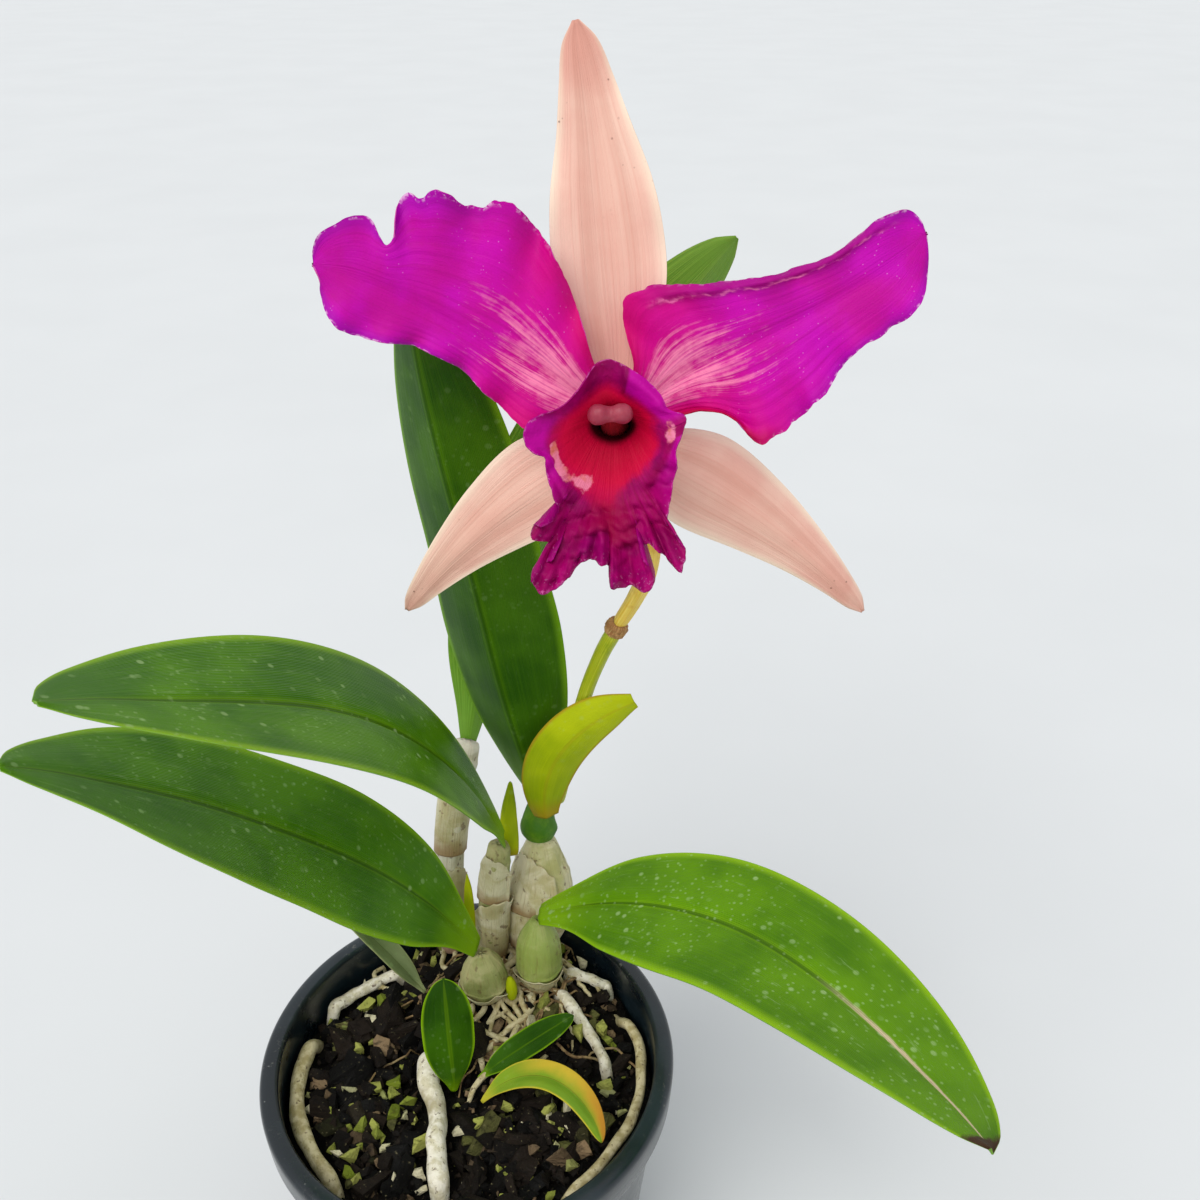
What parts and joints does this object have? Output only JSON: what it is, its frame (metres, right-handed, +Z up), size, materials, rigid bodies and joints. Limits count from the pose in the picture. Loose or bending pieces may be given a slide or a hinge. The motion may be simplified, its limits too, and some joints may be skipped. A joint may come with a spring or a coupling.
{
  "type": "potted orchid",
  "caption": "Orchid plant in a round plastic nursery pot of bark, with strap leaves on swollen stems, white roots and an open magenta flower with peach sepals.",
  "frame": {"origin": "centre of the pot's flat underside", "axes": "+Z up along the pot's axis; the flower faces -Y; +X is to the right of a viewer facing the flower"},
  "size_m": [0.2084, 0.1404, 0.3467],
  "materials": {
    "pot_plastic": "satin black-green moulded plastic",
    "bark_mix": "damp dark bark and moss",
    "bark_chip": "rough chipped bark",
    "papery_bulb": "dry ribbed papery skin",
    "green_bulb": "smooth waxy skin",
    "old_bulb": "dry whitish skin",
    "leaf_green": "thick waxy leaf",
    "tall_leaf_green": "thick waxy leaf",
    "old_leaf_grey": "dull old leaf",
    "yellow_leaf": "yellowing leaf",
    "sheath_green": "thin yellow-green sheath",
    "stalk_green": "smooth stalk",
    "pedicel_yellow": "ribbed flower stem",
    "bract_brown": "dry brown bract",
    "root_white": "spongy white root skin",
    "sepal_peach": "satin sepal",
    "petal_magenta": "sparkling satin petal",
    "lip_crimson": "velvety lip",
    "column_pink": "waxy column"
  },
  "bodies": {
    "root": {"pot": "pot_plastic", "potting_mix": "bark_mix", "bark_chip_1": "bark_chip", "bark_chip_2": "bark_chip", "bark_chip_3": "bark_chip", "bark_chip_4": "bark_chip", "bark_chip_5": "bark_chip", "bark_chip_6": "bark_chip", "pseudobulb_front": "papery_bulb", "pseudobulb_green": "green_bulb", "pseudobulb_middle": "green_bulb", "pseudobulb_left": "green_bulb", "pseudobulb_back": "old_bulb", "leaf_back": "leaf_green", "leaf_upper_left": "leaf_green", "leaf_lower_left": "leaf_green", "leaf_right": "leaf_green", "leaf_small_upright": "leaf_green", "leaf_small_right": "leaf_green", "leaf_tall": "tall_leaf_green", "leaf_petiole": "tall_leaf_green", "leaf_old": "old_leaf_grey", "leaf_yellowing": "yellow_leaf", "flower_sheath": "sheath_green", "bract_stub": "sheath_green", "bract_thin": "sheath_green", "eye_bud": "sheath_green", "flower_stalk": "stalk_green", "pedicel": "pedicel_yellow", "stalk_bract": "bract_brown", "root_front": "root_white", "root_right": "root_white", "root_upper_right": "root_white", "root_left": "root_white", "root_rim_left": "root_white", "root_rim_right": "root_white", "sepal_dorsal": "sepal_peach", "sepal_left": "sepal_peach", "sepal_right": "sepal_peach", "petal_left": "petal_magenta", "petal_right": "petal_magenta", "lip": "lip_crimson", "column": "column_pink", "anther_cap": "column_pink"}
  },
  "joints": []
}
